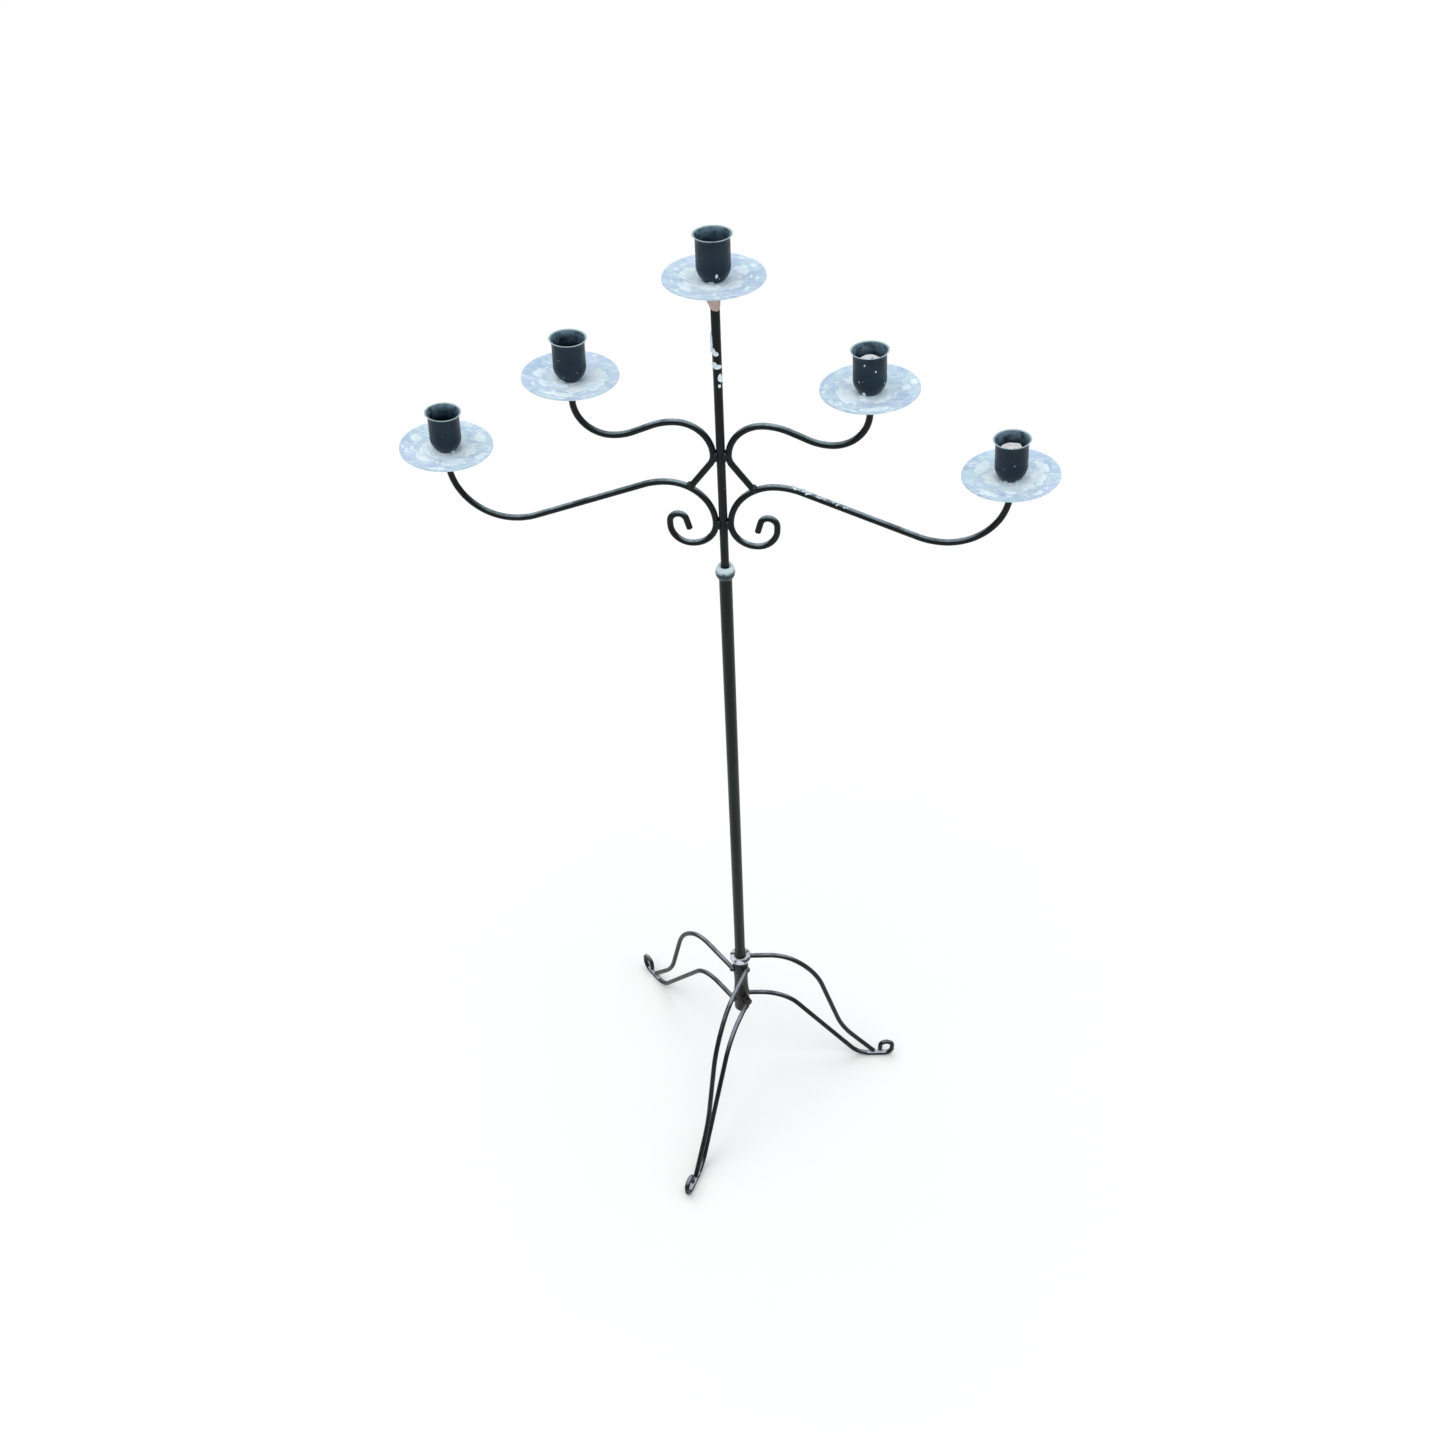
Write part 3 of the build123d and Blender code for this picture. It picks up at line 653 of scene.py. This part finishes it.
class Lumps:
    """Small wax lumps gathered into one mesh."""

    def __init__(self, seed):
        self.rng = random.Random(seed)
        self.mesh = bmesh.new()

    def add(self, centre, normal, size, stretch, turn=0.0):
        """A flattened uneven blob that lies on a surface facing `normal`."""
        made = bmesh.ops.create_icosphere(self.mesh, subdivisions=3, radius=1.0)["verts"]
        waves = random_waves(self.rng, 6, 1.6)
        facing = Vector(normal).to_track_quat("Z", "Y").to_matrix() @ Matrix.Rotation(turn, 3, "Z")
        for v in made:
            swell = 1 + 0.12 * sum(math.sin(wave.dot(v.co) + phase) for wave, phase in waves)
            own = Vector(v.co[k] * swell * stretch[k] * size for k in range(3))
            v.co = centre + facing @ own

    def piece(self, name, look, body="candle_section"):
        mesh = bpy.data.meshes.new(name)
        self.mesh.to_mesh(mesh)
        self.mesh.free()
        mesh.materials.append(look.material)
        shade_smooth(mesh)
        made = add_object(name, mesh)
        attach(made, body)


# Splashes on each cup: (bearing, height over the foot in millimetres, size, downward stretch).
SPLASHES = {
    "top": [
        (-72, 9, 0.9, 1.9), (-60, 6, 0.5, 1.2), (-98, 1.5, 1.6, 0.9), (-110, 1.2, 1.4, 0.8),
        (-86, 1.8, 1.5, 1.0),
    ],
    "upper_left": [(-100, 8, 0.4, 1.0), (-118, 1.4, 1.7, 0.8), (-132, 1.5, 1.4, 0.8), (-50, 12, 0.35, 1.2)],
    "upper_right": [
        (-104, 31, 0.7, 1.3), (-66, 25, 0.5, 1.5), (-125, 15, 0.35, 2.4), (-112, 3.5, 1.3, 2.2),
        (-28, 11, 0.5, 1.8),
    ],
    "lower_left": [(-40, 5, 0.4, 1.0), (-36, 1.6, 1.5, 1.0), (-150, 1.6, 1.6, 0.8), (-120, 1.4, 1.2, 0.7)],
    "lower_right": [(-118, 2.0, 1.3, 1.0), (-60, 2.0, 1.2, 0.9), (-80, 20, 0.35, 1.2), (-20, 9, 0.5, 1.6)],
}
FLECKS = 7                       # tiny specks on each cup


def cup_wax(holder, look, seed):
    """Splashes and runs on a cup's outside."""
    lumps = Lumps(seed)
    for bearing, height, size, run in SPLASHES[holder.place]:
        hit, normal = holder.cup_point(math.radians(bearing), holder.cup_foot + height * MM)
        if hit is not None:
            lumps.add(hit, normal, size * MM, (1.0, run, 0.4))
    for _ in range(FLECKS):
        bearing = lumps.rng.uniform(0, TURN)
        height = holder.cup_foot + lumps.rng.uniform(1.5, 30) * MM
        hit, normal = holder.cup_point(bearing, height)
        if hit is not None:
            shape = (lumps.rng.uniform(0.6, 1.0), lumps.rng.uniform(0.8, 2.4), 0.5)
            lumps.add(hit, normal, lumps.rng.uniform(0.10, 0.24) * MM, shape, lumps.rng.uniform(0, 3.1))
    lumps.piece(f"wax_on_cup_{holder.place}", look)


# ---- candle stubs ---------------------------------------------------------------------------------------
STUB_RADIUS = 10.0 * MM
STUB_BELOW_RIM = 9.0 * MM
STUB_FOOT = 5.2 * MM             # over the cup's foot, just clear of the screw's head
STUB_AROUND = 72                 # vertices in each of a stub's rings


def candle_stub(holder, look, seed, crater):
    """What is left of a candle: a melted, hollowed top with a soft shoulder, down to the screw's head."""
    rng = random.Random(seed)
    top = holder.cup_top - STUB_BELOW_RIM
    bottom = holder.cup_foot + STUB_FOOT
    shift = Vector((rng.uniform(-1.2, 1.2) * MM, rng.uniform(-0.8, 0.8) * MM, 0))
    profile = [
        (0.80, bottom), (0.94, bottom + 2 * MM), (1.00, bottom + 6 * MM), (1.00, top - 4 * MM),
        (0.985, top - 1.6 * MM), (0.94, top - 0.5 * MM), (0.86, top), (0.76, top - 0.15 * MM),
        (0.64, top - crater * 0.55), (0.46, top - crater * 0.9), (0.22, top - crater),
    ]
    waves = [(k, rng.uniform(*PHASES), rng.uniform(0.3, 1.0)) for k in (1, 2, 3, 5, 7)]
    vertices = []
    for share, z in profile:
        for step in range(STUB_AROUND):
            angle = TURN * step / STUB_AROUND
            uneven = sum(size * math.sin(k * angle + phase) for k, phase, size in waves)
            radius = STUB_RADIUS * share * (1 + 0.012 * uneven)
            lift = 0.25 * MM * uneven if z > bottom + 8 * MM else 0
            vertices.append(shift + Vector((radius * math.cos(angle), radius * math.sin(angle), z + lift)))
    faces = wall_faces(len(profile), STUB_AROUND)
    last_ring = (len(profile) - 1) * STUB_AROUND
    base, crown = len(vertices), len(vertices) + 1
    vertices += [shift + Vector((0, 0, bottom)), shift + Vector((0, 0, top - crater))]
    for step in range(STUB_AROUND):
        after = (step + 1) % STUB_AROUND
        faces.append((base, after, step))
        faces.append((crown, last_ring + step, last_ring + after))
    vertices = [holder.matrix @ v for v in vertices]
    stub = new_piece(f"candle_stub_{holder.place}", vertices, faces, look, "candle_section")
    smooth = stub.modifiers.new("smooth", "SUBSURF")
    smooth.levels = smooth.render_levels = 1


def wick(holder, look, crater):
    """Charred end of the wick, bent over in the stub's crater."""
    start = Vector((0.4 * MM, 0, holder.cup_top - STUB_BELOW_RIM - crater - 0.5 * MM))
    bends = ((0, 0, 0), (0.2, 0.1, 1.6), (0.9, 0.5, 2.7), (2.0, 0.9, 3.0))
    line = [start + Vector(bend) * MM for bend in bends]
    curve = bpy.data.curves.new(f"wick_{holder.place}", "CURVE")
    curve.dimensions = "3D"
    curve.bevel_depth = 0.45 * MM
    curve.bevel_resolution = 3
    curve.use_fill_caps = True
    spline = curve.splines.new("NURBS")
    spline.points.add(len(line) - 1)
    for point, place in zip(spline.points, line):
        point.co = (*(holder.matrix @ place), 1)
    spline.order_u = 3
    spline.use_endpoint_u = True
    curve.materials.append(look.material)
    piece = add_object(f"wick_{holder.place}", curve)
    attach(piece, "candle_section")


def charred():
    """A wick's burnt end."""
    look = Look("charred")
    soot = look.mix(look.noise(900, 5), (0.008, 0.007, 0.006), (0.05, 0.045, 0.04))
    look.give(Base_Color=soot, Roughness=0.95)
    look.give(Normal=look.bump(look.noise(1500, 4, shift=2), 0.2 * MM))
    return look


# ---- weld beads -----------------------------------------------------------------------------------------
WELD_VOXEL = 0.35 * MM
BEAD_ROUGHNESS = 0.085 * MM


def molten(node_name, body, look, seed):
    """Replaces plain weld solids with lumpy hand-laid beads of the same size."""
    source = NODES[node_name]
    piece = add_object(f"{node_name}_lumpy", source.data.copy())
    piece.data.materials.clear()
    piece.data.materials.append(look.material)
    remesh = piece.modifiers.new("remesh", "REMESH")
    remesh.mode = "VOXEL"
    remesh.voxel_size = WELD_VOXEL
    remesh.use_smooth_shade = True
    bpy.context.view_layer.objects.active = piece
    bpy.context.view_layer.update()
    graph = bpy.context.evaluated_depsgraph_get()
    mesh = bpy.data.meshes.new_from_object(piece.evaluated_get(graph))
    piece.modifiers.clear()
    piece.data = mesh
    rng = random.Random(seed)
    waves = []
    for _ in range(10):
        heading = Vector([rng.gauss(0, 1) for _ in range(3)])
        length = rng.uniform(0.8, 2.4) * MM
        waves.append((heading / length, rng.uniform(*PHASES)))
    normals = [v.normal.copy() for v in mesh.vertices]
    for v, normal in zip(mesh.vertices, normals):
        push = sum(math.sin(wave.dot(v.co) + phase) for wave, phase in waves)
        v.co += normal * BEAD_ROUGHNESS * push
    shade_smooth(mesh)
    mesh.update()
    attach(piece, body)
    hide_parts(node_name)


# ---- wax on the bars ------------------------------------------------------------------------------------
# Drips on the stem: (depth under the top pan in millimetres, bearing, size, downward stretch).
STEM_DRIPS = (
    (54, -165, 3.0, 2.2), (60, -135, 3.3, 1.0), (62, -98, 3.0, 0.8), (73, -125, 2.8, 0.9),
    (74, -80, 3.0, 0.85), (85, -48, 2.2, 1.9), (92, -66, 1.0, 1.5),
)
ARM_DRIPS = 30
ARM_DRIPS_X = (52 * MM, 116 * MM, 78 * MM)       # where they lie along the arm: from, to, and thickest


def stem_wax(look, stem_radius, seat):
    """Drips on the stem under the top pan."""
    lumps = Lumps(61)
    for depth, bearing, size, run in STEM_DRIPS:
        a = math.radians(bearing)
        outward = Vector((math.cos(a), math.sin(a), 0))
        centre = outward * stem_radius + Vector((0, 0, seat - depth * MM))
        lumps.add(centre, outward, size * MM, (1.0, run, 0.35))
    lumps.piece("wax_on_stem", look)


def arm_wax(look, start_z):
    """Drips along the crest of the right-hand lower arm."""
    arm = tree_of("lower_arm_right")
    drips = Lumps(62)
    for _ in range(ARM_DRIPS):
        x = drips.rng.triangular(*ARM_DRIPS_X)
        side = drips.rng.gauss(-0.6, 0.9) * MM
        hit, normal, _, _ = arm.ray_cast(Vector((x, side, start_z)), Vector((0, 0, -1)))
        if hit is not None:
            long = drips.rng.uniform(1.5, 4.0)
            size = drips.rng.uniform(0.5, 1.1) * MM
            drips.add(hit, normal, size, (long, 0.9, 0.4), drips.rng.uniform(-0.3, 0.3))
    drips.piece("wax_on_lower_arm_right", look)


CONE_RINGS = 14
CONE_AROUND = 40                 # vertices in each ring
CONE_TOP = 2.2 * MM              # under the pan's seat
CONE_LENGTH = 21 * MM
CONE_SWELL = 3.3 * MM            # thickness at the top
CONE_SHIFT = Vector((-2.6, -0.6, 0)) * MM


def stem_collar(look, stem_radius, seat):
    """Cone of old dull wax round the stem under the top pan, fuller on its left side."""
    rng = random.Random(63)
    waves = [(k, rng.uniform(*PHASES)) for k in (2, 3, 5, 8)]
    vertices = []
    for ring in range(CONE_RINGS):
        share = ring / (CONE_RINGS - 1)
        swell = 1 - share**1.4
        centre = CONE_SHIFT * swell + Vector((0, 0, seat - CONE_TOP - CONE_LENGTH * share))
        for step in range(CONE_AROUND):
            a = TURN * step / CONE_AROUND
            uneven = sum(math.sin(k * a + phase + 2.5 * share * k) for k, phase in waves)
            radius = stem_radius + CONE_SWELL * swell + (0.25 + 0.13 * uneven) * MM
            drop = 1.1 * MM * math.sin(2 * a + 1.0) * share
            vertices.append(centre + Vector((radius * math.cos(a), radius * math.sin(a), drop)))
    faces = [(a, d, c, b) for a, b, c, d in wall_faces(CONE_RINGS, CONE_AROUND)]
    faces.append(tuple(range(CONE_AROUND)))
    faces.append(tuple(reversed(range(len(vertices) - CONE_AROUND, len(vertices)))))
    new_piece("wax_under_top_pan", vertices, faces, look, "candle_section")


# ---- everything -----------------------------------------------------------------------------------------
def dress_all():
    """Gives every CAD node its look."""
    arms = black_paint("black_arm_paint", ARM_BLACKS, 0.9, chips=0.76, dust_and_sheen_from=0.48)
    welds = black_paint("black_weld_paint", ARM_BLACKS, 0.15)
    legs = black_paint("black_leg_paint", LEG_BLACKS, 0.62, chips=0.72, dust_and_sheen_from=0.62, dust_and_sheen=SILVERY_DUST_AND_SHEEN)
    pole = black_paint("black_pole_paint", POLE_BLACKS, 0.12, (2.2, 2.2, 0.2), 0.80)
    sleeve = black_paint("black_sleeve_paint", SLEEVE_BLACKS, 0.1, (1.6, 1.6, 0.5), 0.68)
    for side in ("left", "right"):
        dress(f"upper_arm_{side}", arms)
        dress(f"lower_arm_{side}", arms)
    dress("stem", arms)
    for number in (1, 2, 3):
        dress(f"leg_upper_bar_{number}", legs)
        dress(f"leg_lower_bar_{number}", legs)
    dress("pole_tube", pole)
    dress("stem_seat", pole)
    dress("hub_sleeve", sleeve)
    dress("pole_collar", collar_paint())
    dress("hub_ring", worn_steel())
    rust = rusty_iron()
    dress("clamp_nut", rust)
    dress("clamp_screw", rust)
    steel = screw_steel()
    for seed, (place, holder) in enumerate(HOLDERS.items()):
        dress(f"drip_pan_{place}", pan_paint(place, holder, 20 * seed))
        dress(f"candle_cup_{place}", cup_paint(place, holder, 20 * seed + 7))
        dress(f"cup_screw_{place}", steel)
    molten("arm_welds", "candle_section", welds, 41)
    molten("leg_welds", "base", leg_weld_paint(), 42)


def add_wax():
    """Wax on pans, cups and bars, and the two candle stubs."""
    white = wax_look("white_wax", (0.88, 0.97, 1.0), (0.72, 0.86, 0.97), 3)
    pinkish = wax_look("pinkish_wax", (0.80, 0.76, 0.76), (0.62, 0.58, 0.60), 13)
    dull = wax_look("dull_wax", (0.56, 0.43, 0.38), (0.44, 0.33, 0.30), 23)
    for seed, holder in enumerate(HOLDERS.values()):
        pan_wax(holder, white, 100 + seed)
        cup_wax(holder, white, 200 + seed)
    for place, seed, crater in (("upper_right", 5, 1.2 * MM), ("lower_right", 8, 3.2 * MM)):
        candle_stub(HOLDERS[place], pinkish, seed, crater)
        wick(HOLDERS[place], charred(), crater)
    stem_radius = (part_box("stem")[1].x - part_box("stem")[0].x) / 2
    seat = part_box("drip_pan_top")[0].z
    stem_wax(white, stem_radius, seat)
    arm_wax(white, seat)
    stem_collar(dull, stem_radius, seat)


def make_floor():
    """Plain pale floor under the object."""
    look = Look("floor")
    tone = look.mix(look.noise(2.0, 3), (0.96, 0.935, 0.905), (0.97, 0.945, 0.915))
    look.give(Base_Color=tone, Roughness=0.9)
    look.give(Specular_IOR_Level=0.1)
    mesh = bpy.data.meshes.new("floor")
    corners = [(sx * FLOOR_HALF, sy * FLOOR_HALF, 0) for sx, sy in ((-1, -1), (1, -1), (1, 1), (-1, 1))]
    mesh.from_pydata(corners, [], [(0, 1, 2, 3)])
    mesh.materials.append(look.material)
    floor = add_object("floor", mesh)


make_camera()
make_world()
make_sun("overhead", (-0.12, -0.06, 1.0), 1.95, OVERHEAD_DISC, (1.0, 0.99, 0.97))
make_sun("right_fill", (0.9, -0.45, 0.35), 0.5, FILL_DISC, (0.96, 0.98, 1.0))
make_floor()
dress_all()
add_wax()
bpy.context.scene.view_settings.view_transform = "Standard"
